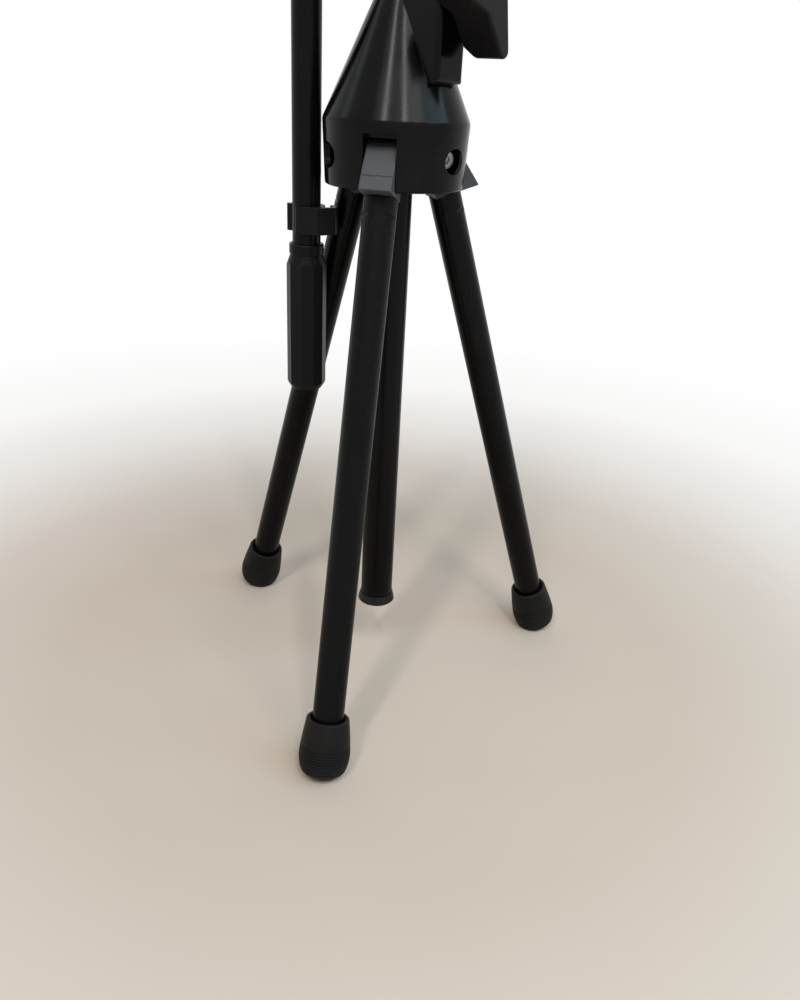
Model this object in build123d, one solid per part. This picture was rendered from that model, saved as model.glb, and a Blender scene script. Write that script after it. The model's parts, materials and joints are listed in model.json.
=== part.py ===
from build123d import *
from math import asin, atan2, cos, degrees, radians, sin, tan
import os

# Webcam on a low tripod boom stand, in millimetres, standing on z = 0 with +Z up.
# The front of the stand looks along -Y and the boom hangs on the -X side of the column.

# Fits and clearances
RUN_FIT = 0.05
SEAT = 0.05
FACE_GAP = 0.15
LOOSE = 0.4

# Stand layout
RIM_Z = 326.5
SPREAD = 17.6
LEG_AZIMUTHS = {"front": -90.0, "right": 30.0, "rear": 150.0}
BOOM_X = -52.6

# Hub
RIM_R = 39.8
SHOULDER_R = 41.6
SHOULDER_H = 34.5
CONE_H = 95.0
HUB_NECK = 9.0
HUB_TOP_R = 13.8
HUB_WALL = 3.2
SHOULDER_ROUND = 6.0
HUB_EDGE_ROUND = 1.2
CAVITY_H = 37.0
CAVITY_BEVEL = 4.0
SLEEVE_R = 15.2
BUSH_R = 12.7
BUSH_LEN = 12.0
UPPER_BUSH_TOP = 70.0
SLOT_H = 29.0
STOP_H = 26.6
STOP_R = 33.0
EAR_T = 5.5

# Leg heads, tubes and feet
PIVOT_R = 23.5
PIVOT_H = 16.0
AXIS_R_AT_RIM = 30.4
HEAD_W = 17.6
HEEL = (49.6, 2.0)
HEAD_TOP = (32.5, 24.6)
HEAD_CREST = (26.5, 26.0)
HEAD_NAPE = (-3.0, 5.0)
HEAD_BACK = 7.0
HEAD_EDGE_ROUND = 0.7
HEAD_SEAM_AT = 0.3
HEAD_SEAM_R = 0.35
EYE_R = 7.2
SPIGOT_LEN = 25.0
PIN_R = 3.0
PIN_HEAD_R = 5.0
PIN_HEAD_T = 4.0
PIN_KEY_R = 2.9
PIN_KEY_DEPTH = 2.2
PIN_END = 1.5
NUT_R = 5.7
NUT_T = 4.5
PIN_ACCESS_R = 6.8
LEG_R = 9.5
LEG_WALL = 1.2
CRIMP_DROP = 10.5
CRIMP_ANGLE = 52.0
CRIMP_R = 1.4
CRIMP_DEPTH = 0.8
CRIMP_LEN = 10.0
FOOT_LEN = 33.8
FOOT_MOUTH_R = 12.9
FOOT_RIM_CHAMFER = 0.5
FOOT_MOUTH_GAP = 1.5
FOOT_MOUTH_DEPTH = 5.0
FOOT_MAX_R = 15.6
FOOT_MAX_AT = 11.5
SOLE_R = 12.6
SOLE_CUT = 0.8
SOLE_LIP = 1.2
TOE_CURVE = 0.6
NECK_CURVE = 1.3
NECK_STEPS = 5
RIBS = 9
RIB_PITCH = 1.8
RIB_FIRST = 2.0
RIB_DEPTH = 0.7
RIB_W = 1.0
RIB_FLANK = 0.25
FOOT_FLOOR = 8.0
FOOT_DISC_T = 1.6

# Height clamp on the hub
BOSS_AZIMUTH = -30.0
BOSS_FACE = 36.5
BOSS_W = 22.5
BOSS_LOW = 54.0
BOSS_EDGE_R = 3.0
CLAMP_DROP = 10.2
STUD_R = 4.0
INSERT_R = 6.5
INSERT_LEN = 14.0
SHOE_R = 5.5
SHOE_END = 15.5
KNOB_GAP = 3.5
KNOB_BACK_R = 23.0
KNOB_CONE_END = 10.5
KNOB_END = 26.0
KNOB_R = 29.4
LOBE_R = 3.7
KNOB_WAIST_R = 9.5
LOBE_TURN = -65.6
KNOB_EDGE_R = 1.5
STUD_IN_KNOB = 12.0
WASHER_R = 7.5
WASHER_T = 1.5

# Column
COLUMN_R = 11.0
COLUMN_WALL = 1.5
COLUMN_LOW = 46.5
COLUMN_TOP = 603.5
CAP_R = 12.9
CAP_BASE = 2.0
CAP_EDGE = 1.0
CAP_FLARE_H = 6.5
CAP_SKIN = 0.5
CAP_PLUG_LEN = 18.0

# Boom swivel on top of the column
SWIVEL_UP = 32.0
SOCKET_R = 15.5
SOCKET_DEPTH = 36.0
SWIVEL_R = 19.0
CASTING_ROUND = 1.2
HEAD_HALF = 16.0
GRUB_R = 2.5
GRUB_KEY_R = 1.4
GRUB_KEY_DEPTH = 2.0
GRUB_UP = 14.0
FRICTION_T = 2.0
FRICTION_INSET = 0.5
SADDLE_END = 45.5
EYE_RING_R = 12.2
EYE_RING_H = 13.0

# Boom
BOOM_R = 8.5
BOOM_WALL = 1.2
BOOM_LOW = 204.0
BOOM_TOP = 815.5
GRIP_BASE = 5.0
GRIP_LEN = 91.0
GRIP_R = 12.2
GRIP_SIDES = 10
GRIP_SHOULDER = 7.0
GRIP_COLLAR_R = 10.5
GRIP_COLLAR_H = 6.0
GRIP_CHAMFER = 2.5
GRIP_CHAMFER_H = 4.0
GRIP_NECK = 0.8
GRIP_COLLAR_ROUND = 1.2
CLIP_ABOVE_GRIP = 6.4
CLIP_H = 15.5
CLIP_WALL = 2.6
CLIP_MOUTH = (-178.0, -105.0)
CLIP_ARM_START = -2.4
CLIP_TAB_FROM = 150.0
CLIP_TAB_END = (-11.5, 2.0)
CLIP_HOOK_H = 5.0
CLIP_LIP = 3.2
CABLE_SPACE = 5.0
PLUG_LEN = 20.0
PLUG_FLANGE_H = 4.0
THREAD_R = 4.8
THREAD_FLOOR = 4.0
LOCK_RING_R = 11.0
LOCK_RING_H = 5.0
RING_NOTCHES = 16
NOTCH_R = 1.0
SEAT_DISC_R = 16.0
SEAT_DISC_H = 9.0
SEAT_DISC_EDGE = 0.8
SEAT_ROOF = 2.0
PAD_T = 1.5
PAD_INSET = 1.0
CAMERA_SCREW_R = 3.1
CAMERA_SCREW_LEN = 6.5

# Webcam
CAM_W = 92.0
CAM_H = 34.0
CAM_D = 28.0
CAM_WALL = 2.0
CAM_SPLIT_Y = -4.0
CAM_FRONT_ROUND = 2.0
CAM_BACK_ROUND = 4.0
CAM_FOOT = (36.0, 25.0, 8.0)
CAM_FOOT_CORNER = 8.0
CAM_FOOT_ROUND = 1.5
HINGE_UP = 17.5
HINGE_R = 6.5
CAM_LIFT = 10.0
CHEEK_T = 4.0
LUG_HALF = 8.0
HINGE_PIN_R = 2.0
HINGE_PIN_HEAD_R = 3.3
HINGE_PIN_HEAD_T = 1.2
PANEL_W = 82.0
PANEL_H = 24.0
PANEL_DEPTH = 3.4
PANEL_T = 1.2
BARREL_R = 9.0
LENS_RING_R = 10.5
LENS_RING_PROUD = 0.6
LENS_R = 7.5
LENS_T = 2.2
LENS_CROWN = 0.8
LENS_SET = 0.2
LENS_LEDGE = 1.2
BOARD = (74.0, 25.0)
BOARD_Y = 2.5
BOARD_T = 1.6
SENSOR = 8.6
SENSOR_T = 1.2
SHUTTER_W = 18.0
SHUTTER_T = 1.0
SHUTTER_GROOVE = 0.8
SHUTTER_OPEN_X = 21.0
SHUTTER_TAB = (2.0, 1.0, 9.0)
LED_X = -17.0
LED_R = 1.2
MIC_X = 34.0
MIC = (5.0, 12.0)
USB = (9.2, 7.4, 3.4)
USB_WALL = 0.4
USB_CORNER = 1.5
USB_FLOOR = 1.0
USB_TONGUE_W = 6.2
USB_TONGUE_T = 0.7
USB_TONGUE_SET = 1.2
USB_X = -20.0
CASE_SCREW_X = 38.0
CASE_SCREW_R = 1.3
CASE_SCREW_HEAD_R = 2.4
CASE_SCREW_HEAD_T = 1.5
CASE_SCREW_SINK = 1.8
CASE_SCREW_LEN = 14.0
CASE_POST_R = 3.4
CASE_POST_SPLIT = 5.0

# Values that follow from the dimensions above
PIVOT_Z = RIM_Z + PIVOT_H
HUB_H = CONE_H + HUB_NECK
CLAMP_H = HUB_H - CLAMP_DROP
SWIVEL_Z = COLUMN_TOP + SWIVEL_UP
SOCKET_LOW = COLUMN_TOP - SOCKET_DEPTH
SLOT_W = HEAD_W + 2 * LOOSE
CARRIER_W = SLOT_W + 2 * EAR_T
AXIS_OFFSET = (AXIS_R_AT_RIM - PIVOT_H * tan(radians(SPREAD)) - PIVOT_R) * cos(radians(SPREAD))
GRIP_LOW = BOOM_LOW - GRIP_BASE
CLIP_LOW = GRIP_LOW + GRIP_LEN + CLIP_ABOVE_GRIP
STUD_LOW = BOOM_TOP - PLUG_LEN + THREAD_FLOOR
SEAT_Z = BOOM_TOP + PLUG_FLANGE_H + LOCK_RING_H + SEAT_DISC_H
CAM_BASE_Z = SEAT_Z + PAD_T
HINGE_Z = CAM_BASE_Z + HINGE_UP
CAM_Z = HINGE_Z + CAM_LIFT + CAM_H / 2
FRONT_Y = -CAM_D / 2
PANEL_Y = FRONT_Y + PANEL_DEPTH

ON_BASE = (Align.CENTER, Align.CENTER, Align.MIN)


def rod(radius, low, high):
    return Pos(0, 0, low) * Cylinder(radius, high - low, align=ON_BASE)


def pipe(outer, inner, low, high):
    return rod(outer, low, high) - rod(inner, low - 1, high + 1)


def soft_rod(radius, low, high, edge):
    body = rod(radius, low, high)
    return fillet(body.edges().filter_by(GeomType.CIRCLE), edge)


def turned(*points):
    """A solid of revolution about Z from points of radius and height."""
    return revolve(Plane.XZ * make_face(Polyline(*points, close=True)), Axis.Z)


def along_x(shape):
    return Rot(0, 90, 0) * shape


def along_y(shape):
    return Rot(-90, 0, 0) * shape


def leg_uv(radius, height):
    """A point of the stand's radial plane, in the leg's own frame with the pivot at the origin."""
    out = radius - PIVOT_R
    up = height - PIVOT_H
    a = radians(SPREAD)
    return (out * cos(a) + up * sin(a), up * cos(a) - out * sin(a))


HEEL_U, UNDERSIDE = leg_uv(*HEEL)
SOLE_V = (-SOLE_CUT - PIVOT_Z - (AXIS_OFFSET - SOLE_R) * sin(radians(SPREAD))) / cos(radians(SPREAD))


def on_leg(azimuth, shape):
    place = Rot(0, 0, azimuth) * Pos(PIVOT_R, 0, PIVOT_Z) * Rot(0, -SPREAD, 0)
    return place * shape


def at_hub(azimuth, shape):
    return Rot(0, 0, azimuth) * Pos(0, 0, RIM_Z) * shape


def pin_line(radius, start, end):
    """A cylinder on a leg's hinge line, from start to end along the tangent."""
    return Pos(PIVOT_R, 0, PIVOT_H) * along_y(rod(radius, start, end))


# Hub: conical body with three leg slots, a column sleeve and the clamp boss
def hub_outside():
    body = turned(
        (0, 0),
        (RIM_R, 0),
        (SHOULDER_R, SHOULDER_H),
        (HUB_TOP_R, CONE_H),
        (HUB_TOP_R, HUB_H),
        (0, HUB_H),
    )
    rims = body.edges().filter_by(GeomType.CIRCLE).sort_by(Axis.Z)
    body = fillet(rims[1], SHOULDER_ROUND)
    rims = body.edges().filter_by(GeomType.CIRCLE).sort_by(Axis.Z)
    return fillet([rims[0], rims[-1]], HUB_EDGE_ROUND)


def radial_slab(start, width, height):
    """A cutter from under the rim up to a height, running out past the shoulder from a radius."""
    slab = Box(2 * SHOULDER_R, width, height + 1, align=(Align.MIN, Align.CENTER, Align.MIN))
    return Pos(start, 0, -1) * slab


def clamp_boss():
    half = BOSS_W / 2
    front = Rectangle(BOSS_W, CLAMP_H - BOSS_LOW, align=(Align.CENTER, Align.MAX)) + Circle(half)
    boss = Pos(0, 0, CLAMP_H) * extrude(Plane.YZ * front, BOSS_FACE)
    edge = boss.faces().sort_by(Axis.X)[-1].edges()
    return fillet(edge, BOSS_EDGE_R)


def hub_body():
    outside = hub_outside()
    inner = SHOULDER_R - HUB_WALL
    cavity = turned(
        (SLEEVE_R, -1),
        (RIM_R - HUB_WALL, -1),
        (inner, CAVITY_H - CAVITY_BEVEL),
        (inner - CAVITY_BEVEL, CAVITY_H),
        (SLEEVE_R, CAVITY_H),
    )
    body = outside + Rot(0, 0, BOSS_AZIMUTH) * clamp_boss()
    for azimuth in LEG_AZIMUTHS.values():
        cavity -= Rot(0, 0, azimuth) * radial_slab(0, CARRIER_W, HUB_H)
    body -= cavity
    for azimuth in LEG_AZIMUTHS.values():
        slot = radial_slab(SLEEVE_R, SLOT_W, STOP_H) + radial_slab(STOP_R, SLOT_W, SLOT_H)
        half = CARRIER_W / 2
        bore = pin_line(PIN_R + RUN_FIT, -half - 1, half + 1)
        access = pin_line(PIN_ACCESS_R, -SHOULDER_R, -half)
        body -= Rot(0, 0, azimuth) * (slot + bore + access)
    clamp = along_x(rod(STUD_R + LOOSE, 0, BOSS_FACE + 1))
    clamp += along_x(rod(INSERT_R + SEAT, BOSS_FACE - INSERT_LEN, BOSS_FACE + 1))
    clamp += along_x(rod(SHOE_R + 2 * SEAT, 0, SHOE_END + SEAT))
    body -= Rot(0, 0, BOSS_AZIMUTH) * Pos(0, 0, CLAMP_H) * clamp
    body -= rod(COLUMN_R + LOOSE, -1, HUB_H + BOSS_W)
    body -= rod(BUSH_R + RUN_FIT, -1, UPPER_BUSH_TOP + SEAT)
    return Pos(0, 0, RIM_Z) * body


def column_bush(top):
    bush = pipe(BUSH_R, COLUMN_R + RUN_FIT, top - BUSH_LEN, top)
    return Pos(0, 0, RIM_Z) * bush


def leg_hinge_bolts():
    half = CARRIER_W / 2
    bolt = pin_line(PIN_R, -half, half + NUT_T + PIN_END)
    bolt += pin_line(PIN_HEAD_R, -half - PIN_HEAD_T, -half)
    key = extrude(RegularPolygon(PIN_KEY_R, 6), PIN_KEY_DEPTH)
    bolt -= Pos(PIVOT_R, -half - PIN_HEAD_T, PIVOT_H) * along_y(key)
    return [at_hub(a, bolt) for a in LEG_AZIMUTHS.values()]


def leg_hinge_nuts():
    half = CARRIER_W / 2
    blank = extrude(RegularPolygon(NUT_R, 6), NUT_T) - rod(PIN_R + SEAT, -1, NUT_T + 1)
    nut = Pos(PIVOT_R, half, PIVOT_H) * along_y(blank)
    return [at_hub(a, nut) for a in LEG_AZIMUTHS.values()]


# Height clamp: shoe, insert, stud and three-lobed knob
def on_clamp(shape):
    return at_hub(BOSS_AZIMUTH, Pos(0, 0, CLAMP_H) * shape)


def clamp_shoe():
    shoe = along_x(rod(SHOE_R, 0, SHOE_END))
    return on_clamp(shoe - rod(COLUMN_R + SEAT, -2 * SHOE_R, 2 * SHOE_R))


def clamp_insert():
    return on_clamp(along_x(pipe(INSERT_R, STUD_R + RUN_FIT, BOSS_FACE - INSERT_LEN + SEAT, BOSS_FACE)))


def lobe_outline():
    reach = KNOB_R - LOBE_R
    lean = asin((KNOB_WAIST_R - LOBE_R) / reach)
    outline = Circle(KNOB_WAIST_R)
    for n in range(3):
        near = (KNOB_WAIST_R * sin(lean), KNOB_WAIST_R * cos(lean))
        far = (reach + LOBE_R * sin(lean), LOBE_R * cos(lean))
        flank = make_face(Polyline(near, far, (far[0], -far[1]), (near[0], -near[1]), close=True))
        outline += Rot(0, 0, LOBE_TURN + 120 * n) * (flank + Pos(reach, 0) * Circle(LOBE_R))
    return outline


def lobed_knob():
    """Knob on an axis along +X, with the clamped face at x = 0."""
    blank = turned(
        (0, KNOB_GAP),
        (KNOB_BACK_R, KNOB_GAP),
        (KNOB_R + 1, KNOB_CONE_END),
        (KNOB_R + 1, KNOB_END),
        (0, KNOB_END),
    )
    prism = extrude(Plane.YZ * lobe_outline(), KNOB_END)
    outer = prism.faces().sort_by(Axis.X)[-1].edges()
    knob = fillet(outer, KNOB_EDGE_R) & along_x(blank)
    return knob - along_x(rod(STUD_R + SEAT, 0, KNOB_GAP + STUD_IN_KNOB))


def clamp_knob():
    return on_clamp(Pos(BOSS_FACE, 0, 0) * lobed_knob())


def clamp_stud():
    end = BOSS_FACE + KNOB_GAP + STUD_IN_KNOB - SEAT
    return on_clamp(along_x(rod(STUD_R, SHOE_END + SEAT, end)))


def clamp_washer():
    washer = pipe(WASHER_R, STUD_R + SEAT, KNOB_GAP - WASHER_T, KNOB_GAP)
    return on_clamp(Pos(BOSS_FACE, 0, 0) * along_x(washer))


# Legs: wedge head on a hinge, tube and rubber ferrule
def leg_head():
    heel = (HEEL_U, UNDERSIDE)
    top = leg_uv(*HEAD_TOP)
    crest = leg_uv(*HEAD_CREST)
    side = Polyline(heel, top, crest, HEAD_NAPE, (-HEAD_BACK, 0), (-HEAD_BACK, UNDERSIDE), close=True)
    head = extrude(Plane.XZ * make_face(side), HEAD_W / 2, both=True)
    slope = head.faces().filter_by(lambda f: f.normal_at().X > 0.5)
    head = fillet(slope.edges(), HEAD_EDGE_ROUND)
    head += along_y(rod(EYE_R, -HEAD_W / 2, HEAD_W / 2))
    seam = [a + HEAD_SEAM_AT * (b - a) for a, b in zip(heel, top)]
    head -= Pos(seam[0], 0, seam[1]) * along_y(rod(HEAD_SEAM_R, -HEAD_W, HEAD_W))
    head -= along_y(rod(PIN_R + RUN_FIT, -HEAD_W, HEAD_W))
    return head + Pos(AXIS_OFFSET, 0, 0) * rod(LEG_R - LEG_WALL - SEAT, UNDERSIDE - SPIGOT_LEN, UNDERSIDE)


def leg_tube():
    low = SOLE_V + FOOT_FLOOR + FOOT_DISC_T + SEAT
    tube = pipe(LEG_R, LEG_R - LEG_WALL, low, UNDERSIDE)
    dent = Pos(LEG_R - CRIMP_DEPTH + CRIMP_R, 0, UNDERSIDE - CRIMP_DROP) * along_y(
        rod(CRIMP_R, -CRIMP_LEN / 2, CRIMP_LEN / 2)
    )
    for side in (-1, 1):
        tube -= Rot(0, 0, side * CRIMP_ANGLE) * dent
    return Pos(AXIS_OFFSET, 0, 0) * tube


def foot_radius(height):
    """Radius of the foot's smooth outline at a height above its sole."""
    if height < FOOT_MAX_AT:
        return SOLE_R + (FOOT_MAX_R - SOLE_R) * sin(radians(90 * height / FOOT_MAX_AT)) ** TOE_CURVE
    part = (height - FOOT_MAX_AT) / (FOOT_LEN - FOOT_MAX_AT)
    return FOOT_MAX_R - (FOOT_MAX_R - FOOT_MOUTH_R) * part**NECK_CURVE


def leg_foot(azimuth):
    edge = [(0, 0), (SOLE_R, 0), (foot_radius(SOLE_LIP), SOLE_LIP)]
    groove = ((0, 0), (RIB_FLANK, RIB_DEPTH), (RIB_W - RIB_FLANK, RIB_DEPTH), (RIB_W, 0))
    for n in range(RIBS):
        start = RIB_FIRST + n * RIB_PITCH
        for step, depth in groove:
            height = start + step
            edge.append((foot_radius(height) - depth, height))
    plain = RIB_FIRST + RIBS * RIB_PITCH
    neck = FOOT_LEN - FOOT_RIM_CHAMFER - plain
    for n in range(NECK_STEPS + 1):
        height = plain + neck * n / NECK_STEPS
        edge.append((foot_radius(height), height))
    edge.append((FOOT_MOUTH_R - FOOT_RIM_CHAMFER, FOOT_LEN))
    edge.append((LEG_R + FOOT_MOUTH_GAP, FOOT_LEN))
    edge.append((LEG_R + SEAT, FOOT_LEN - FOOT_MOUTH_DEPTH))
    edge.append((LEG_R + SEAT, FOOT_FLOOR))
    edge.append((0, FOOT_FLOOR))
    foot = on_leg(azimuth, Pos(AXIS_OFFSET, 0, SOLE_V) * turned(*edge))
    return foot - Box(2 * RIM_Z, 2 * RIM_Z, FOOT_LEN, align=(Align.CENTER, Align.CENTER, Align.MAX))


def foot_disc():
    return Pos(AXIS_OFFSET, 0, SOLE_V) * rod(LEG_R - SEAT, FOOT_FLOOR, FOOT_FLOOR + FOOT_DISC_T)


# Column: sliding tube with a flared cap below
def column_tube():
    return pipe(COLUMN_R, COLUMN_R - COLUMN_WALL, COLUMN_LOW, COLUMN_TOP)


def column_end_cap():
    plug = COLUMN_R - COLUMN_WALL - SEAT
    low = COLUMN_LOW - CAP_BASE
    return turned(
        (0, low),
        (CAP_R - CAP_EDGE, low),
        (CAP_R, low + CAP_EDGE),
        (COLUMN_R + CAP_SKIN, low + CAP_FLARE_H),
        (COLUMN_R + SEAT, low + CAP_FLARE_H),
        (COLUMN_R + SEAT, COLUMN_LOW - SEAT),
        (plug, COLUMN_LOW - SEAT),
        (plug, COLUMN_LOW + CAP_PLUG_LEN),
        (0, COLUMN_LOW + CAP_PLUG_LEN),
    )


# Boom swivel: head, friction disc, saddle, eye bolt and knob
def at_swivel(shape):
    return Pos(0, 0, SWIVEL_Z) * shape


def at_grub(shape):
    return Pos(0, 0, SOCKET_LOW + GRUB_UP) * along_y(shape)


def swivel_head():
    head = soft_rod(SOCKET_R, SOCKET_LOW, SWIVEL_Z, CASTING_ROUND)
    head += at_swivel(along_x(soft_rod(SWIVEL_R, -HEAD_HALF, HEAD_HALF, CASTING_ROUND)))
    head -= rod(COLUMN_R + SEAT, SOCKET_LOW - 1, COLUMN_TOP + SEAT)
    head -= at_swivel(along_x(rod(STUD_R + RUN_FIT, -2 * HEAD_HALF, 2 * HEAD_HALF)))
    return head - at_grub(rod(GRUB_R + SEAT, 0, 2 * SOCKET_R))


def swivel_grub_screw():
    screw = rod(GRUB_R, COLUMN_R + SEAT, SOCKET_R)
    key = extrude(RegularPolygon(GRUB_KEY_R, 6), 2 * GRUB_KEY_DEPTH)
    return at_grub(screw - Pos(0, 0, SOCKET_R - GRUB_KEY_DEPTH) * key)


def friction_disc():
    start = HEAD_HALF + FACE_GAP
    return at_swivel(along_x(pipe(SWIVEL_R - FRICTION_INSET, STUD_R + SEAT, -start - FRICTION_T, -start)))


def boom_saddle():
    start = HEAD_HALF + FACE_GAP + FRICTION_T
    saddle = along_x(soft_rod(SWIVEL_R, -SADDLE_END, -start, CASTING_ROUND))
    reach = BOOM_X + EYE_RING_R + LOOSE
    across = 2 * (EYE_RING_R + LOOSE)
    pocket = Box(SADDLE_END, across, EYE_RING_H + 2 * LOOSE, align=(Align.MAX, Align.CENTER, Align.CENTER))
    saddle -= Pos(reach, 0, 0) * pocket
    saddle -= along_x(rod(STUD_R + SEAT, -SADDLE_END, 0))
    return at_swivel(saddle - boom_bore())


def boom_bore():
    return Pos(BOOM_X, 0, 0) * rod(BOOM_R + RUN_FIT, -2 * SWIVEL_R, 2 * SWIVEL_R)


def eye_bolt():
    ring = Pos(BOOM_X, 0, 0) * rod(EYE_RING_R, -EYE_RING_H / 2, EYE_RING_H / 2)
    end = HEAD_HALF + KNOB_GAP + STUD_IN_KNOB - SEAT
    bolt = ring + along_x(rod(STUD_R, BOOM_X, end))
    return at_swivel(bolt - boom_bore())


def swivel_knob():
    return at_swivel(Pos(HEAD_HALF, 0, 0) * lobed_knob())


def swivel_washer():
    washer = pipe(WASHER_R, STUD_R + SEAT, KNOB_GAP - WASHER_T, KNOB_GAP)
    return at_swivel(Pos(HEAD_HALF, 0, 0) * along_x(washer))


# Boom: tube with a grip, a cable clip and a threaded upper end
def on_boom(shape):
    return Pos(BOOM_X, 0, 0) * shape


def boom_tube():
    return on_boom(pipe(BOOM_R, BOOM_R - BOOM_WALL, BOOM_LOW, BOOM_TOP))


def boom_grip():
    body = GRIP_LEN - GRIP_COLLAR_H
    blank = turned(
        (0, 0),
        (GRIP_R - GRIP_CHAMFER, 0),
        (GRIP_R, GRIP_CHAMFER_H),
        (GRIP_R, body - GRIP_SHOULDER),
        (GRIP_COLLAR_R - GRIP_NECK, body),
        (0, body),
    )
    grip = extrude(RegularPolygon(GRIP_R, GRIP_SIDES, rotation=180 / GRIP_SIDES), body) & blank
    collar = rod(GRIP_COLLAR_R, body, GRIP_LEN)
    grip += fillet(collar.edges().sort_by(Axis.Z)[-1], GRIP_COLLAR_ROUND)
    grip -= rod(BOOM_R + SEAT, GRIP_BASE, GRIP_LEN + 1)
    return on_boom(Pos(0, 0, GRIP_LOW) * grip)


def band(width, *points):
    """A flat strip of even width with round ends, along straight runs between points."""
    strip = Pos(*points[0]) * Circle(width / 2)
    for start, end in zip(points, points[1:]):
        run = Vector(*end) - Vector(*start)
        bar = Rectangle(run.length, width, align=(Align.MIN, Align.CENTER))
        turn = degrees(atan2(run.Y, run.X))
        strip += Pos(*start) * Rot(0, 0, turn) * bar + Pos(*end) * Circle(width / 2)
    return strip


def cable_clip():
    inner = BOOM_R + RUN_FIT
    outer = inner + CLIP_WALL
    middle = inner + CLIP_WALL / 2
    reach = outer + CABLE_SPACE + CLIP_WALL / 2
    rise = CLIP_HOOK_H / 2
    lip = (reach - CLIP_LIP, rise + CLIP_LIP)
    mouth = [(2 * outer * cos(radians(a)), 2 * outer * sin(radians(a))) for a in CLIP_MOUTH]
    plan = Circle(outer) - make_face(Polyline((0, 0), *mouth, close=True))
    plan += band(CLIP_WALL, (CLIP_ARM_START, -middle), (middle, -middle), (reach, -rise), (reach, rise), lip)
    tab = radians(CLIP_TAB_FROM)
    plan += band(CLIP_WALL, (middle * cos(tab), middle * sin(tab)), CLIP_TAB_END)
    plan -= Circle(inner)
    return on_boom(Pos(0, 0, CLIP_LOW) * extrude(plan, CLIP_H))


def boom_top_plug():
    plug = rod(BOOM_R - BOOM_WALL - SEAT, BOOM_TOP - PLUG_LEN, BOOM_TOP)
    plug += rod(BOOM_R, BOOM_TOP, BOOM_TOP + PLUG_FLANGE_H)
    return on_boom(plug - rod(THREAD_R + SEAT, STUD_LOW, SEAT_Z))


def boom_thread_stud():
    return on_boom(rod(THREAD_R, STUD_LOW + SEAT, SEAT_Z - SEAT_ROOF - SEAT))


def lock_ring():
    low = BOOM_TOP + PLUG_FLANGE_H
    ring = pipe(LOCK_RING_R, THREAD_R + RUN_FIT, low + FACE_GAP, low + LOCK_RING_H - FACE_GAP)
    notch = Pos(LOCK_RING_R, 0, 0) * rod(NOTCH_R, low, low + LOCK_RING_H)
    for n in range(RING_NOTCHES):
        ring -= Rot(0, 0, 360 / RING_NOTCHES * n) * notch
    return on_boom(ring)


def camera_seat():
    seat = rod(SEAT_DISC_R, SEAT_Z - SEAT_DISC_H, SEAT_Z)
    seat = chamfer(seat.edges(), SEAT_DISC_EDGE)
    seat += rod(CAMERA_SCREW_R, SEAT_Z, CAM_BASE_Z + CAMERA_SCREW_LEN)
    return on_boom(seat - rod(THREAD_R + SEAT, SEAT_Z - SEAT_DISC_H - 1, SEAT_Z - SEAT_ROOF))


def seat_pad():
    return on_boom(pipe(SEAT_DISC_R - PAD_INSET, CAMERA_SCREW_R + SEAT, SEAT_Z, CAM_BASE_Z - FACE_GAP))


# Webcam: foot with a hinge, two shells and what they hold
def on_camera(shape):
    return Pos(BOOM_X, 0, CAM_Z) * shape


def webcam_foot():
    width, depth, height = CAM_FOOT
    plate = extrude(RectangleRounded(width, depth, CAM_FOOT_CORNER), height)
    plate = fillet(plate.faces().sort_by(Axis.Z)[-1].edges(), CAM_FOOT_ROUND)
    inner = LUG_HALF + FACE_GAP
    cheek = Pos(inner, 0, HINGE_UP) * along_x(rod(HINGE_R, 0, CHEEK_T))
    web = Box(CHEEK_T, 2 * HINGE_R, HINGE_UP, align=(Align.MIN, Align.CENTER, Align.MIN))
    cheek += Pos(inner, 0, 0) * web
    foot = plate + cheek + mirror(cheek, Plane.YZ)
    foot -= rod(CAMERA_SCREW_R + RUN_FIT, -1, CAMERA_SCREW_LEN + LOOSE)
    foot -= Pos(0, 0, HINGE_UP) * along_x(rod(HINGE_PIN_R + SEAT, -width, width))
    return Pos(BOOM_X, 0, CAM_BASE_Z) * foot


def webcam_hinge_pin():
    end = LUG_HALF + FACE_GAP + CHEEK_T
    head = rod(HINGE_PIN_HEAD_R, end, end + HINGE_PIN_HEAD_T)
    pin = rod(HINGE_PIN_R, -end, end) + head + mirror(head, Plane.XY)
    return Pos(BOOM_X, 0, HINGE_Z) * along_x(pin)


def pill(width, height, y_low, y_high):
    """A bar with round ends, standing on its long edge, between two depths."""
    return Pos(0, y_low, 0) * along_y(extrude(SlotOverall(width, height), y_high - y_low))


def case_posts(radius, y_low, y_high):
    post = along_y(rod(radius, y_low, y_high))
    return [Pos(side * CASE_SCREW_X, 0, 0) * post for side in (-1, 1)]


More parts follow.
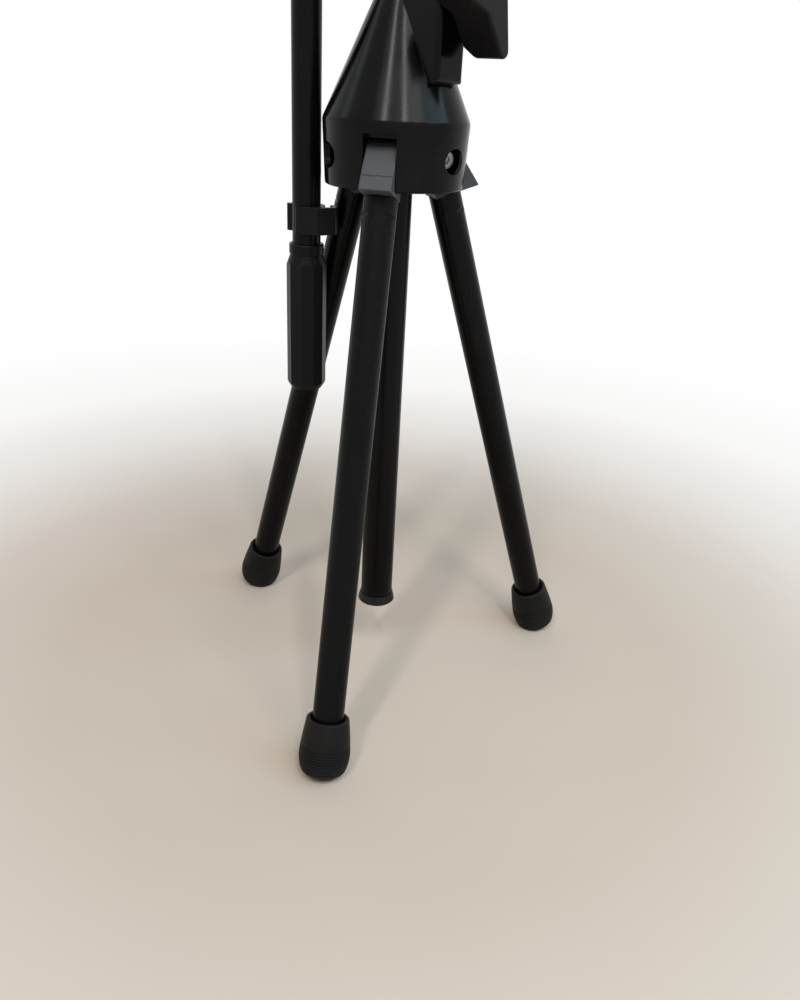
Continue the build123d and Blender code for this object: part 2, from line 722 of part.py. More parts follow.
def webcam_rear_shell():
    back = CAM_D / 2
    shell = pill(CAM_W, CAM_H, CAM_SPLIT_Y, back)
    shell = fillet(shell.faces().sort_by(Axis.Y)[-1].edges(), CAM_BACK_ROUND)
    shell -= pill(CAM_W - 2 * CAM_WALL, CAM_H - 2 * CAM_WALL, CAM_SPLIT_Y - 1, back - CAM_WALL)
    drop = -CAM_H / 2 - CAM_LIFT
    lug = Pos(0, 0, drop) * along_x(rod(HINGE_R, -LUG_HALF, LUG_HALF))
    lug += Pos(0, 0, drop) * Box(2 * LUG_HALF, -2 * CAM_SPLIT_Y, CAM_LIFT + CAM_WALL / 2, align=ON_BASE)
    shell += lug
    shell -= Pos(0, 0, drop) * along_x(rod(HINGE_PIN_R + RUN_FIT, -CAM_W, CAM_W))
    for post in case_posts(CASE_POST_R, CAM_SPLIT_Y + CASE_POST_SPLIT, back - CAM_WALL / 2):
        shell += post
    for hole in case_posts(CASE_SCREW_R + SEAT, CAM_SPLIT_Y - 1, back + 1):
        shell -= hole
    for sink in case_posts(CASE_SCREW_HEAD_R + SEAT, back - CASE_SCREW_SINK, back + 1):
        shell -= sink
    socket = Box(USB[0] + 2 * SEAT, 2 * USB[1], USB[2] + 2 * SEAT)
    return on_camera(shell - Pos(USB_X, back, 0) * socket)


def webcam_front_shell():
    shell = pill(CAM_W, CAM_H, FRONT_Y, CAM_SPLIT_Y)
    shell = fillet(shell.faces().sort_by(Axis.Y)[0].edges(), CAM_FRONT_ROUND)
    inside = FRONT_Y + PANEL_DEPTH + PANEL_T + CAM_WALL
    shell -= pill(CAM_W - 2 * CAM_WALL, CAM_H - 2 * CAM_WALL, inside, CAM_SPLIT_Y + 1)
    shell -= pill(PANEL_W, PANEL_H, FRONT_Y - 1, PANEL_Y + PANEL_T)
    shell -= Pos(0, FRONT_Y - 1, 0) * along_y(rod(BARREL_R + 2 * SEAT, 0, CAM_D))
    travel = SHUTTER_OPEN_X + SHUTTER_W + 2 * LOOSE
    track = Box(travel, SHUTTER_T + 2 * FACE_GAP, PANEL_H + 2 * SHUTTER_GROOVE)
    shell -= Pos(SHUTTER_OPEN_X / 2, shutter_y(), 0) * track
    for post in case_posts(CASE_POST_R, inside - CAM_WALL / 2, CAM_SPLIT_Y + CASE_POST_SPLIT - SEAT):
        shell += post
    for hole in case_posts(CASE_SCREW_R + SEAT, inside + CAM_WALL / 2, CAM_D):
        shell -= hole
    shell -= Pos(LED_X, PANEL_Y, 0) * along_y(rod(LED_R + SEAT, 0, CAM_D))
    return on_camera(shell)


def shutter_y():
    return PANEL_Y - LENS_RING_PROUD - FACE_GAP - SHUTTER_T / 2


def front_panel():
    panel = pill(PANEL_W - 2 * SEAT, PANEL_H - 2 * SEAT, PANEL_Y, PANEL_Y + PANEL_T - SEAT)
    through = 2 * PANEL_T
    panel -= Pos(0, PANEL_Y - PANEL_T / 2, 0) * along_y(rod(LENS_RING_R + SEAT, 0, through))
    panel -= Pos(LED_X, PANEL_Y - PANEL_T / 2, 0) * along_y(rod(LED_R + SEAT, 0, through))
    mic = SlotOverall(MIC[1], MIC[0]).rotate(Axis.Z, 90)
    for side in (-1, 1):
        panel -= Pos(side * MIC_X, PANEL_Y - PANEL_T / 2, 0) * along_y(extrude(mic, through))
    return on_camera(panel)


def microphone_meshes():
    mic = SlotOverall(MIC[1] - 2 * SEAT, MIC[0] - 2 * SEAT).rotate(Axis.Z, 90)
    mesh = along_y(extrude(mic, PANEL_T - SEAT))
    return [on_camera(Pos(side * MIC_X, PANEL_Y, 0) * mesh) for side in (-1, 1)]


def lens_ring():
    return on_camera(
        Pos(0, PANEL_Y - LENS_RING_PROUD, 0)
        * along_y(pipe(LENS_RING_R, LENS_R + SEAT, 0, LENS_RING_PROUD + PANEL_T - SEAT))
    )


def lens_glass():
    dome = turned((0, 0), (LENS_R, LENS_CROWN), (LENS_R, LENS_T), (0, LENS_T))
    return on_camera(Pos(0, PANEL_Y - LENS_RING_PROUD + LENS_SET, 0) * along_y(dome))


def lens_barrel():
    start = PANEL_Y + PANEL_T
    barrel = pipe(BARREL_R, LENS_R - LENS_LEDGE, 0, BOARD_Y - start)
    seat = LENS_SET + LENS_T - LENS_RING_PROUD - PANEL_T
    return on_camera(Pos(0, start, 0) * along_y(barrel - rod(LENS_R + SEAT, -1, seat + SEAT)))


def image_sensor():
    return on_camera(Pos(0, BOARD_Y - SENSOR_T / 2, 0) * Box(SENSOR, SENSOR_T, SENSOR))


def main_board():
    board = Pos(0, BOARD_Y + BOARD_T / 2, 0) * Box(BOARD[0], BOARD_T, BOARD[1])
    for hole in case_posts(CASE_POST_R + SEAT, -CAM_D, CAM_D):
        board -= hole
    return on_camera(board)


def usb_socket():
    back = CAM_D / 2
    width, length, height = USB
    from_rear = (Align.CENTER, Align.MAX, Align.CENTER)
    shell = fillet(Box(width, length, height, align=from_rear).edges().filter_by(Axis.Y), USB_CORNER)
    mouth = Box(width - 2 * USB_WALL, length, height - 2 * USB_WALL, align=from_rear)
    shell -= Pos(0, USB_FLOOR, 0) * fillet(mouth.edges().filter_by(Axis.Y), USB_CORNER - USB_WALL)
    tongue = Box(USB_TONGUE_W, length - USB_TONGUE_SET, USB_TONGUE_T, align=from_rear)
    shell += Pos(0, -USB_TONGUE_SET, 0) * tongue
    stem = back - length - BOARD_Y - BOARD_T
    shell += Pos(0, -length, 0) * Box(width - USB_CORNER, stem, height - USB_FLOOR, align=from_rear)
    return on_camera(Pos(USB_X, back, 0) * shell)


def status_light():
    depth = BOARD_Y - PANEL_Y
    return on_camera(Pos(LED_X, PANEL_Y, 0) * along_y(rod(LED_R, 0, depth)))


def privacy_shutter():
    plate = Box(SHUTTER_W, SHUTTER_T, PANEL_H + 2 * SHUTTER_GROOVE - 2 * FACE_GAP)
    tab = Box(*SHUTTER_TAB, align=(Align.CENTER, Align.MAX, Align.CENTER))
    shutter = plate + Pos(0, -SHUTTER_T / 2, 0) * tab
    return on_camera(Pos(SHUTTER_OPEN_X, shutter_y(), 0) * shutter)


def case_screws():
    back = CAM_D / 2 - CASE_SCREW_SINK
    shanks = case_posts(CASE_SCREW_R, back - CASE_SCREW_LEN, back)
    heads = case_posts(CASE_SCREW_HEAD_R, back, back + CASE_SCREW_HEAD_T)
    return [on_camera(shank + head) for shank, head in zip(shanks, heads)]


def make_nodes():
    nodes = {
        "hub_body": hub_body(),
        "column_bush_lower": column_bush(BUSH_LEN + 1),
        "column_bush_upper": column_bush(UPPER_BUSH_TOP),
        "leg_hinge_bolts": leg_hinge_bolts(),
        "leg_hinge_nuts": leg_hinge_nuts(),
        "clamp_shoe": clamp_shoe(),
        "clamp_insert": clamp_insert(),
        "clamp_stud": clamp_stud(),
        "clamp_washer": clamp_washer(),
        "clamp_knob": clamp_knob(),
    }
    for side, azimuth in LEG_AZIMUTHS.items():
        nodes[f"leg_head_{side}"] = on_leg(azimuth, leg_head())
        nodes[f"leg_tube_{side}"] = on_leg(azimuth, leg_tube())
        nodes[f"leg_foot_{side}"] = leg_foot(azimuth)
        nodes[f"foot_disc_{side}"] = on_leg(azimuth, foot_disc())
    nodes["column_tube"] = column_tube()
    nodes["column_end_cap"] = column_end_cap()
    nodes["swivel_head"] = swivel_head()
    nodes["swivel_grub_screw"] = swivel_grub_screw()
    nodes["friction_disc"] = friction_disc()
    nodes["boom_saddle"] = boom_saddle()
    nodes["eye_bolt"] = eye_bolt()
    nodes["swivel_knob"] = swivel_knob()
    nodes["swivel_washer"] = swivel_washer()
    nodes["boom_tube"] = boom_tube()
    nodes["boom_grip"] = boom_grip()
    nodes["cable_clip"] = cable_clip()
    nodes["boom_top_plug"] = boom_top_plug()
    nodes["boom_thread_stud"] = boom_thread_stud()
    nodes["lock_ring"] = lock_ring()
    nodes["camera_seat"] = camera_seat()
    nodes["seat_pad"] = seat_pad()
    nodes["webcam_foot"] = webcam_foot()
    nodes["webcam_hinge_pin"] = webcam_hinge_pin()
    nodes["webcam_rear_shell"] = webcam_rear_shell()
    nodes["webcam_front_shell"] = webcam_front_shell()
    nodes["front_panel"] = front_panel()
    nodes["microphone_meshes"] = microphone_meshes()
    nodes["lens_ring"] = lens_ring()
    nodes["lens_glass"] = lens_glass()
    nodes["lens_barrel"] = lens_barrel()
    nodes["image_sensor"] = image_sensor()
    nodes["main_board"] = main_board()
    nodes["usb_socket"] = usb_socket()
    nodes["status_light"] = status_light()
    nodes["privacy_shutter"] = privacy_shutter()
    nodes["case_screws"] = case_screws()
    return nodes


def as_solids(shape):
    pieces = shape if isinstance(shape, list) else [shape]
    return [solid for piece in pieces for solid in piece.solids()]


# The origin is the middle of the stand's box on the floor
os.makedirs("parts", exist_ok=True)
nodes = {name: as_solids(shape) for name, shape in make_nodes().items()}
box = Compound([solid for solids in nodes.values() for solid in solids]).bounding_box()
shift = Pos(-box.center().X, -box.center().Y, -box.min.Z)
for name, solids in nodes.items():
    placed = [shift * solid for solid in solids]
    export_step(placed[0] if len(placed) == 1 else Compound(placed), f"parts/{name}.step")
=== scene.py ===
import json
import math
import bmesh
import bpy
from mathutils import Matrix, Vector


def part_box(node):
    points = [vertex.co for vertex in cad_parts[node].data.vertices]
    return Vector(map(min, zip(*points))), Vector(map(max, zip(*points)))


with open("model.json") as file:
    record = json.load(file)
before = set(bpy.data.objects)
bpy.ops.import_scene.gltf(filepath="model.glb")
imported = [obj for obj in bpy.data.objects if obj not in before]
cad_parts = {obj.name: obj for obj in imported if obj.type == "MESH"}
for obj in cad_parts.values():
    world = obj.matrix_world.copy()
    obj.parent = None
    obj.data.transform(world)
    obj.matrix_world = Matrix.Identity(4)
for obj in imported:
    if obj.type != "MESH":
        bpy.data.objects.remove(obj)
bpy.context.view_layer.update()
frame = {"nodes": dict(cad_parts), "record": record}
nodes = frame["nodes"]
scene = bpy.context.scene
scene.view_settings.view_transform = "Standard"


class Socket:
    """A socket of a material's node tree. Arithmetic on it adds Math nodes."""

    def __init__(self, tree, socket=None):
        self.tree = tree
        self.socket = socket

    def add(self, kind, settings=None, inputs=None, output=0):
        """Any node: its settings are set first, then its sockets take values or links."""
        node = self.tree.nodes.new("ShaderNode" + kind)
        for name, value in (settings or {}).items():
            if name == "stops":
                ramp = node.color_ramp
                while len(ramp.elements) < len(value):
                    ramp.elements.new(0.5)
                for stop, (place, level) in zip(ramp.elements, value):
                    stop.position = place
                    stop.color = (level, level, level, 1)
            else:
                setattr(node, name, value)
        for name, value in (inputs or {}).items():
            if isinstance(value, Socket):
                self.tree.links.new(value.socket, node.inputs[name])
            else:
                node.inputs[name].default_value = value
        return Socket(self.tree, node.outputs[output])

    def math(self, operation, *values):
        return self.add("Math", {"operation": operation}, dict(enumerate(values)))

    def vector(self, operation, *values, output=0):
        return self.add("VectorMath", {"operation": operation}, dict(enumerate(values)), output)

    def __add__(self, other):
        return self.math("ADD", self, other)

    def __sub__(self, other):
        return self.math("SUBTRACT", self, other)

    def __rsub__(self, other):
        return self.math("SUBTRACT", other, self)

    def __mul__(self, other):
        return self.math("MULTIPLY", self, other)

    __radd__ = __add__
    __rmul__ = __mul__

    def part(self, output):
        """Another output of the same node."""
        return Socket(self.tree, self.socket.node.outputs[output])

    def ramp(self, *stops):
        return self.add("ValToRGB", {"stops": stops}, {"Fac": self})

    def blend(self, low, high):
        """Colour low where this is 0 and high where it is 1."""
        return self.add("Mix", {"data_type": "RGBA"}, {0: self, 6: low, 7: high}, 2)

    def noise(self, scale, detail=2.0, rough=0.5):
        inputs = {"Vector": self, "Scale": scale, "Detail": detail, "Roughness": rough}
        return self.add("TexNoise", None, inputs)

    def stretched(self, scale):
        return self.add("Mapping", None, {"Vector": self, "Scale": scale})

    def axis(self, name):
        return self.add("SeparateXYZ", None, {"Vector": self}, name)

    def wave(self, pitch, shape="SINE"):
        """A wave along this length, with one crest in each pitch."""
        return self.math(shape, self * (2 * math.pi / pitch))

    def size(self):
        return self.math("ABSOLUTE", self)

    def larger(self, other):
        return self.math("MAXIMUM", self, other)


def grey(value, warm=0.0):
    return (value * (1 + warm), value, value * (1 - warm), 1)


def tint(colour, level):
    return tuple(level * c for c in colour) + (1,)


def middle(node):
    low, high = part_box(node)
    return (low + high) / 2


class Finish:
    """A material with a Principled shader; what varies is linked, the rest is set on the shader."""

    def __init__(self, name, **values):
        self.material = bpy.data.materials.new(name)
        self.material.use_nodes = True
        self.tree = self.material.node_tree
        self.shader = self.tree.nodes["Principled BSDF"]
        self.place = Socket(self.tree).add("TexCoord", None, None, "Object")
        for socket, value in values.items():
            self.set(socket.replace("_", " "), value)

    def set(self, socket, value):
        if isinstance(value, Socket):
            self.tree.links.new(value.socket, self.shader.inputs[socket])
        else:
            self.shader.inputs[socket].default_value = value

    def bump(self, height, depth, strength=1.0, under=None):
        inputs = {"Height": height, "Distance": depth, "Strength": strength}
        if under:
            inputs["Normal"] = under
        return height.add("Bump", None, inputs)

    def soft_edges(self, radius):
        """The surface direction with sharp edges eased over a radius."""
        return self.place.add("Bevel", {"samples": 6}, {"Radius": radius})

    # Edge mask, used both for rubbed wear and for painted edge highlights.
    def edge_wear_and_highlight(self, eased, low, high):
        """0 on flat faces, 1 on edges: how far the eased direction leaves the true one."""
        true = self.place.add("NewGeometry", None, None, "Normal")
        turn = eased.vector("DOT_PRODUCT", eased, true, output="Value")
        return (1 - turn).ramp((low, 0.0), (high, 1.0))

    def from_axis(self, node):
        """Distance from the fore-and-aft line through the middle of a turned piece."""
        arm = self.place.vector("SUBTRACT", self.place, middle(node))
        flat = arm.vector("MULTIPLY", arm, (1, 0, 1))
        return flat.vector("LENGTH", flat, output="Value")


SETTLED_DUST = grey(0.10, 0.04)
CARPET_DUST = (0.16, 0.14, 0.12, 1)
DUST_FALL = 55
COMMON_EDGE = 0.0004
GRAINED_EDGE = 0.0005
PLATED_EDGE = 0.0002
TURNED_EDGE = 0.00015


# Mouldings
def gloss_moulding(name, colour, rough, specular=0.25, smudge=0.10):
    """Polished moulding: smudges dull the gloss in patches and a few dust specks lie on it."""
    finish = Finish(name, Specular_IOR_Level=specular)
    place = finish.place
    eased = finish.soft_edges(COMMON_EDGE)
    hands = place.noise(26, 4.0, 0.62).ramp((0.42, 0.0), (0.72, 1.0))
    dust = place.noise(1900, 1.0).ramp((0.74, 0.0), (0.80, 1.0))
    finish.set("Base Color", (0.35 * dust + 0.05 * hands).blend(grey(colour), SETTLED_DUST))
    finish.set("Roughness", rough + smudge * hands + 0.2 * dust)
    finish.set("Normal", finish.bump(place.noise(180, 2.0), 0.00003, 0.25, eased))
    return finish.material


def grained_moulding(name, colour, rough, grain, scale, specular=0.2, wear_and_highlight_gain=2.2,
                     edges=(0.02, 0.22), hue=(1, 1, 1)):
    """Spark-textured moulding: an even grain, faint flow marks, and lighter edges, which are partly
    rubbed wear and partly a painted highlight.
    """
    finish = Finish(name, Specular_IOR_Level=specular)
    place = finish.place
    eased = finish.soft_edges(GRAINED_EDGE)
    wear_and_highlight_edges = finish.edge_wear_and_highlight(eased, *edges)
    fine = place.noise(scale, 3.0, 0.6)
    flow = place.noise(34, 3.0, 0.6)
    base = flow.blend(tint(hue, colour * 0.75), tint(hue, colour * 1.25))
    # Lighter edges: partly rubbed wear, partly a painted highlight along the edges.
    rub_and_highlight = wear_and_highlight_edges * place.noise(300, 3.0, 0.7).ramp((0.40, 0.0), (0.62, 1.0))
    finish.set("Base Color", (0.8 * rub_and_highlight).blend(base, tint(hue, colour * wear_and_highlight_gain)))
    finish.set("Roughness", rough - 0.05 + 0.08 * flow + 0.06 * fine - 0.10 * rub_and_highlight)
    finish.set("Normal", finish.bump(fine, grain, 1.0, eased))
    return finish.material


# Coated tube and castings
def powder_coat(name, colour, rough, peel_scale=420, peel=0.00004, specular=0.15):
    """Powder coat: a low orange peel, hairline rubs along the tube and sparse dust."""
    finish = Finish(name, Specular_IOR_Level=specular)
    place = finish.place
    eased = finish.soft_edges(COMMON_EDGE)
    dust = place.noise(2100, 1.0).ramp((0.72, 0.0), (0.79, 1.0))
    haze = place.noise(20, 4.0, 0.6)
    rubs = place.stretched((1, 1, 0.03)).noise(900, 2.0).ramp((0.66, 0.0), (0.72, 1.0))
    base = haze.blend(grey(colour * 0.7), grey(colour * 1.3))
    finish.set("Base Color", (0.4 * dust + 0.10 * rubs).blend(base, grey(0.10, 0.05)))
    finish.set("Roughness", rough - 0.06 + 0.12 * haze + 0.18 * dust + 0.06 * rubs)
    finish.set("Normal", finish.bump(place.noise(peel_scale, 2.0), peel, 0.4, eased))
    return finish.material


# Rubber
def rubber(name, colour, rough=0.50, floor_dust=0.0):
    """Rubber with a fine tooth, a light bloom, lighter crests (partly rubbed wear, partly a painted
    highlight), and carpet dust near the floor.
    """
    finish = Finish(name, Specular_IOR_Level=0.16)
    place = finish.place
    eased = finish.soft_edges(COMMON_EDGE)
    bloom = place.noise(95, 4.0, 0.65).ramp((0.38, 0.0), (0.74, 1.0))
    rub_and_highlight = finish.edge_wear_and_highlight(eased, 0.01, 0.16) * (0.35 + 0.65 * bloom)
    near_floor = (1 - DUST_FALL * place.axis("Z")).ramp((0.0, 0.0), (1.0, 1.0))
    lint = place.noise(1300, 3.0, 0.7).ramp((0.50, 0.0), (0.75, 1.0))
    base = (0.5 * bloom).blend(grey(colour, 0.06), grey(colour * 2.2, 0.08))
    # Crests much lighter: partly rubbed wear, partly a painted highlight on the rib edges and the
    # rim.
    crest_wear_and_highlight = (0.8 * rub_and_highlight).blend(base, grey(colour * 6, 0.03))
    finish.set("Base Color", (floor_dust * near_floor * lint).blend(crest_wear_and_highlight, CARPET_DUST))
    finish.set("Roughness", rough + 0.14 * bloom - 0.06 * rub_and_highlight)
    finish.set("Normal", finish.bump(place.noise(2600, 2.0), 0.00005, 0.8, eased))
    return finish.material


# Metals
def plated(name, colour, rough, stretch=(1, 1, 12)):
    """Plated or turned metal with fine tool marks and a cloudy tone."""
    finish = Finish(name, Metallic=1.0)
    place = finish.place
    marks = place.stretched(stretch).noise(900, 3.0)
    cloud = place.noise(160, 3.0)
    finish.set("Base Color", cloud.blend(tint(colour, 0.72), tint(colour, 1.0)))
    finish.set("Roughness", rough + 0.16 * marks)
    finish.set("Normal", finish.bump(marks, 0.00001, 0.5, finish.soft_edges(PLATED_EDGE)))
    return finish.material


def turned_metal(name, node, colour, rough, pitch):
    """Dark anodised ring with the rings that a lathe leaves, round the lens axis."""
    finish = Finish(name, Metallic=1.0)
    reach = finish.from_axis(node)
    rings = reach.wave(pitch)
    cloud = finish.place.noise(220, 2.0)
    finish.set("Base Color", cloud.blend(tint(colour, 0.8), tint(colour, 1.0)))
    finish.set("Roughness", rough + 0.08 * cloud)
    finish.set("Normal", finish.bump(rings, 0.00002, 0.5, finish.soft_edges(TURNED_EDGE)))
    return finish.material


# Webcam pieces
def punched_mesh():
    """Microphone cover: round holes on a square grid, painted near black as the shade inside them."""
    pitch = 0.00055
    finish = Finish("microphone_mesh", Specular_IOR_Level=0.3)
    place = finish.place
    across = place.axis("X").wave(pitch, "COSINE")
    up = place.axis("Z").wave(pitch, "COSINE")
    hole = (0.25 * across + 0.25 * up + 0.5).ramp((0.55, 0.0), (0.68, 1.0))
    # Painted shade: the holes are coloured near black for the shade inside the openings.
    finish.set("Base Color", hole.blend(grey(0.045), grey(0.002)))
    finish.set("Roughness", 0.42 + 0.4 * hole)
    finish.set("Normal", finish.bump(1 - hole, 0.00012, 1.0))
    return finish.material


def barrel():
    """Lens barrel: baffle rings cut in matte black plastic to stop stray light."""
    pitch = 0.0006
    finish = Finish("barrel_moulding", Specular_IOR_Level=0.2)
    place = finish.place
    steps = place.axis("Y").wave(pitch)
    finish.set("Base Color", place.noise(300, 2.0).blend(grey(0.003), grey(0.006)))
    finish.set("Roughness", 0.62 + 0.2 * place.noise(900))
    finish.set("Normal", finish.bump(steps, 0.00012, 0.8))
    return finish.material


def sensor_die():
    """Image sensor: a glossy blue-green pixel field with a pale bond border."""
    finish = Finish("sensor_die", Roughness=0.12, Specular_IOR_Level=0.8)
    place = finish.place
    low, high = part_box("image_sensor")
    half = (high - low).x / 2
    arm = place.vector("SUBTRACT", place, middle("image_sensor"))
    reach = arm.axis("X").size().larger(arm.axis("Z").size())
    border = reach.math("GREATER_THAN", reach, 0.72 * half)
    sheen = place.noise(320, 1.0).blend((0.006, 0.022, 0.030, 1), (0.018, 0.010, 0.030, 1))
    finish.set("Base Color", border.blend(sheen, (0.16, 0.14, 0.10, 1)))
    finish.set("Normal", finish.bump(border, 0.00005, 0.6))
    return finish.material


def board_mask():
    """Circuit board: green mask over raised copper runs, with tinned pads."""
    finish = Finish("board_mask", Specular_IOR_Level=0.5)
    place = finish.place
    upright = {"Vector": place, "Scale": (420, 420, 420), "Rotation": (math.radians(90), 0, 0)}
    sizes = {"Vector": place.add("Mapping", None, upright), "Scale": 1.0,
             "Mortar Size": 0.08, "Brick Width": 0.9, "Row Height": 0.45}
    runs = place.add("TexBrick", {"offset": 0.5, "squash": 0.6}, sizes, "Fac")
    pads = place.noise(700, 0.0).ramp((0.66, 0.0), (0.69, 1.0))
    mask = runs.blend((0.006, 0.060, 0.026, 1), (0.012, 0.105, 0.045, 1))
    finish.set("Base Color", pads.blend(mask, (0.55, 0.53, 0.48, 1)))
    finish.set("Metallic", pads)
    finish.set("Roughness", 0.38 - 0.12 * pads)
    finish.set("Normal", finish.bump(runs + pads, 0.00004, 0.6))
    return finish.material


def coated_glass():
    """Front lens: smoky glass under a faint violet coating, with a few wiped smears."""
    finish = Finish("lens_glass", Base_Color=(0.66, 0.65, 0.74, 1), Transmission_Weight=1.0, IOR=1.38)
    finish.set("Coat Weight", 1.0)
    finish.set("Coat IOR", 1.5)
    finish.set("Coat Tint", (0.86, 0.78, 0.98, 1))
    smears = finish.place.noise(240, 3.0).ramp((0.62, 0.0), (0.80, 1.0))
    finish.set("Roughness", 0.015 + 0.05 * smears)
    return finish.material


def light_pipe():
    """Clear pipe of the status light, with a small lit core."""
    finish = Finish("light_pipe", Base_Color=(0.80, 0.86, 0.88, 1), Roughness=0.22)
    finish.set("Emission Strength", 0.6)
    reach = finish.from_axis("status_light")
    millimetres = reach * 1000
    core = millimetres.ramp((0.45, 1.0), (1.0, 0.0))
    finish.set("Emission Color", core.blend((0.05, 0.07, 0.07, 1), (0.75, 1.0, 0.85, 1)))
    return finish.material


finishes = {
    "hub_plastic": gloss_moulding("hub_moulding", 0.0010, 0.15, specular=0.11),
    "head_plastic": grained_moulding("leg_head_moulding", 0.085, 0.50, 0.00012, 1300,
                                     specular=0.25, hue=(0.94, 0.98, 1.06)),
    "black_tube": powder_coat("tube_coat", 0.0028, 0.30, specular=0.10),
    "foot_rubber": rubber("foot_rubber", 0.0042, floor_dust=0.6),
    "zinc_steel": plated("plated_steel", (0.44, 0.45, 0.47), 0.24),
    "nylon": grained_moulding("bush_nylon", 0.55, 0.42, 0.00002, 2400,
                              wear_and_highlight_gain=1.1, hue=(1.0, 0.98, 0.92)),
    "brass": plated("turned_brass", (0.80, 0.58, 0.26), 0.20, (12, 12, 1)),
    "cap_plastic": gloss_moulding("cap_moulding", 0.005, 0.30),
    "black_casting": powder_coat("casting_coat", 0.007, 0.40, 700, 0.00008),
    "knob_plastic": grained_moulding("knob_moulding", 0.012, 0.44, 0.00011, 1400,
                                     specular=0.12, hue=(1.02, 0.98, 1.04)),
    "fibre": grained_moulding("friction_fibre", 0.16, 0.75, 0.00008, 1100,
                              wear_and_highlight_gain=1.3, hue=(1.0, 0.62, 0.38)),
    # The grip's facet edges are lifted nine times lighter, mostly a painted highlight on the facet
    # edges.
    "grip_plastic": grained_moulding("grip_moulding", 0.005, 0.32, 0.00005, 1600,
                                     specular=0.10, wear_and_highlight_gain=9.0, edges=(0.004, 0.05)),
    "pad_rubber": rubber("pad_rubber", 0.012),
    # The clip's edges are lifted four times lighter, mostly a painted highlight on the edges.
    "clip_plastic": grained_moulding("clip_moulding", 0.008, 0.34, 0.00005, 1800,
                                     specular=0.10, wear_and_highlight_gain=4.0),
    "webcam_plastic": grained_moulding("webcam_moulding", 0.022, 0.42, 0.00009, 1900, wear_and_highlight_gain=1.8),
    "gloss_panel": gloss_moulding("panel_gloss", 0.003, 0.07, smudge=0.05),
    "mesh": punched_mesh(),
    "lens_ring": turned_metal("ring_anodised", "lens_ring", (0.14, 0.14, 0.15), 0.20, 0.0003),
    "lens_glass": coated_glass(),
    "lens_plastic": barrel(),
    "sensor": sensor_die(),
    "board": board_mask(),
    "light_pipe": light_pipe(),
}

slots = {entry["node"]: entry["material_slot"] for entry in frame["record"]["subparts"]}
for name, node in nodes.items():
    node.data.materials.clear()
    node.data.materials.append(finishes[slots[name]])

# Stage
RIM_HEIGHT = 0.3265
COLUMN_Y = 0.0326
CAMERA_STAND = Vector((0.1092, COLUMN_Y - 0.5096, RIM_HEIGHT + 0.0557))
CAMERA_YAW = math.radians(10.61)
CAMERA_PITCH = math.radians(26.36)
CAMERA_ROLL = math.radians(-3.13)
CAMERA_LENS = 30.62
CAMERA_SENSOR = 36.0
FLOOR_R = 0.9
FLOOR_DROP = 0.0002
FLOOR_FADE = ((0.25, 0.0), (0.36, 0.16), (0.50, 0.55), (0.68, 0.88), (0.95, 1.0))
BEIGE_LOW = (0.69, 0.585, 0.49, 1)
BEIGE_HIGH = (0.72, 0.61, 0.51, 1)
WHITE = (1, 1, 1, 1)
LAMP_REACH = 2.2
COLD_EDGE = (0.52, 0.82, 1.0)
COLD_FILL = (0.70, 0.90, 1.0)
ROOM_AHEAD = 0.02
ROOM_BEHIND = 0.80
ROOM_ABOVE = 0.20


def photo_camera():
    """The camera that took the photograph: ahead of the hub, above its rim, rolled a little."""
    turn = Matrix.Rotation(CAMERA_YAW, 3, "Z")
    ahead = turn @ Vector((0, math.cos(CAMERA_PITCH), -math.sin(CAMERA_PITCH)))
    right = turn @ Vector((1, 0, 0))
    down = ahead.cross(right)
    across = math.cos(CAMERA_ROLL) * right + math.sin(CAMERA_ROLL) * down
    drop = math.cos(CAMERA_ROLL) * down - math.sin(CAMERA_ROLL) * right
    data = bpy.data.cameras.new("photo_camera")
    data.lens = CAMERA_LENS
    data.sensor_width = CAMERA_SENSOR
    data.clip_start = 0.01
    camera = bpy.data.objects.new("photo_camera", data)
    basis = Matrix((across, -drop, -ahead)).transposed().to_4x4()
    camera.matrix_world = Matrix.Translation(CAMERA_STAND) @ basis
    scene.collection.objects.link(camera)
    scene.camera = camera


def background_rays(start):
    """1 for the rays that show the white background: straight, mirrored or through glass."""
    rays = start.add("LightPath", None, None, "Is Camera Ray")
    return rays.larger(rays.part("Is Glossy Ray").larger(rays.part("Is Transmission Ray")))


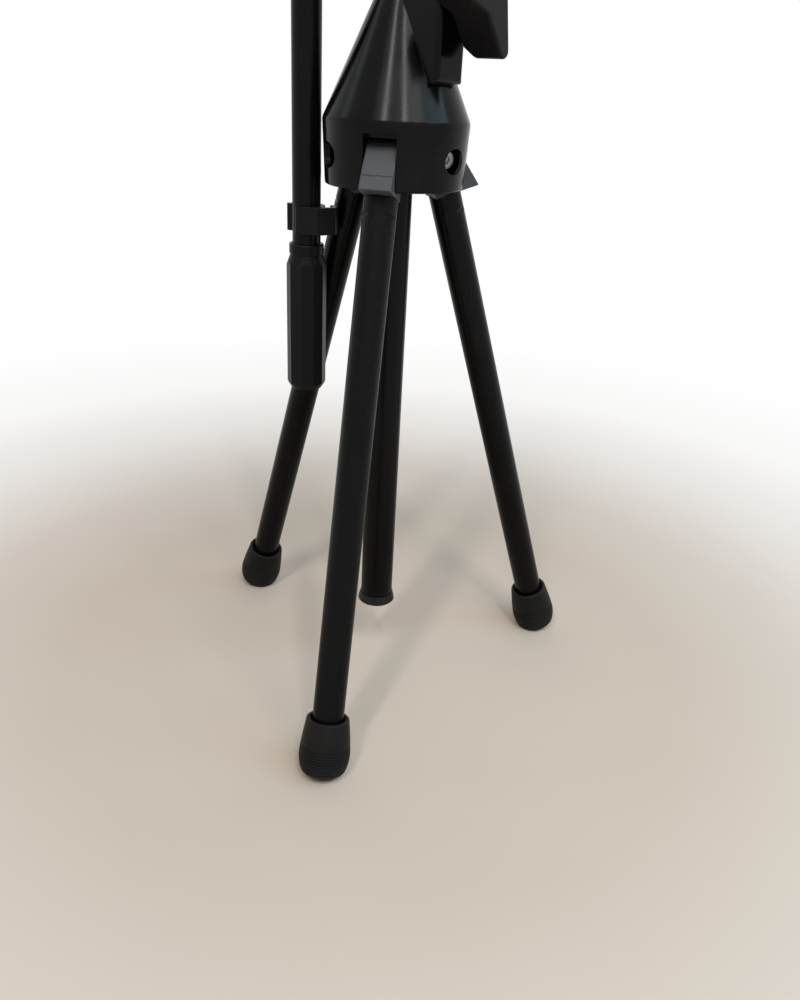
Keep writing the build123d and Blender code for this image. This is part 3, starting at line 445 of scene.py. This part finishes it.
def floor():
    """A round pale floor, beige round the stand and white at its rim."""
    mesh = bpy.data.meshes.new("floor")
    work = bmesh.new()
    bmesh.ops.create_circle(work, cap_ends=True, segments=96, radius=FLOOR_R)
    work.to_mesh(mesh)
    work.free()
    sheet = bpy.data.objects.new("floor", mesh)
    sheet.location = (0, COLUMN_Y, -FLOOR_DROP)
    scene.collection.objects.link(sheet)
    finish = Finish("floor", Roughness=0.95, Specular_IOR_Level=0.1)
    place = finish.place
    reach = place.vector("LENGTH", place, output="Value")
    far = (reach * (1 / FLOOR_R)).ramp(*FLOOR_FADE)
    finish.set("Base Color", place.noise(9, 3.0).blend(BEIGE_LOW, BEIGE_HIGH))
    white = place.add("Emission", None, {"Color": WHITE, "Strength": 1.0})
    shader = Socket(finish.tree, finish.shader.outputs[0])
    mix = place.add("MixShader", None, {0: far * background_rays(place), 1: shader, 2: white})
    finish.tree.links.new(mix.socket, finish.tree.nodes["Material Output"].inputs["Surface"])
    mesh.materials.append(finish.material)


def softbox(name, bearing, height, size, power, colour=(1, 1, 1)):
    """A soft lamp aimed at the hub from a bearing and a height angle, in degrees."""
    turn, lift = math.radians(bearing), math.radians(height)
    level = math.cos(lift)
    ray = Vector((level * math.cos(turn), level * math.sin(turn), math.sin(lift)))
    light = bpy.data.lights.new(name, "AREA")
    light.shape = "RECTANGLE"
    light.size, light.size_y = size
    light.energy = power
    light.color = colour
    lamp = bpy.data.objects.new(name, light)
    lamp.location = Vector((0, COLUMN_Y, RIM_HEIGHT)) + LAMP_REACH * ray
    lamp.rotation_euler = (-ray).to_track_quat("-Z", "Y").to_euler()
    scene.collection.objects.link(lamp)


def studio():
    """A white background, room light from behind and above, and soft lamps high round the hub."""
    world = bpy.data.worlds.new("studio")
    scene.world = world
    world.use_nodes = True
    tree = world.node_tree
    start = Socket(tree)
    way = start.add("TexCoord", None, None, "Generated")
    behind = (0.5 + 0.5 * way.axis("Y")).ramp((0.58, 0.0), (0.90, 1.0))
    above = way.axis("Z").ramp((0.15, 0.0), (0.95, 1.0))
    room = ROOM_AHEAD + ROOM_BEHIND * behind + ROOM_ABOVE * above * (1 - behind)
    strength = background_rays(start).larger(room)
    background = tree.nodes["Background"]
    background.inputs["Color"].default_value = WHITE
    tree.links.new(strength.socket, background.inputs["Strength"])
    softbox("key", -87, 47, (1.8, 0.7), 6)
    softbox("window", -41, 47, (0.7, 0.8), 9)
    softbox("window_edge", -3, 40, (1.4, 0.9), 14, COLD_EDGE)
    softbox("strip_left", -101, 49, (0.15, 0.9), 10.5)
    softbox("strip_right", -63, 49, (0.15, 0.9), 10.5)
    softbox("fill", -176, 33, (0.4, 0.8), 1.2, COLD_FILL)


photo_camera()
floor()
studio()
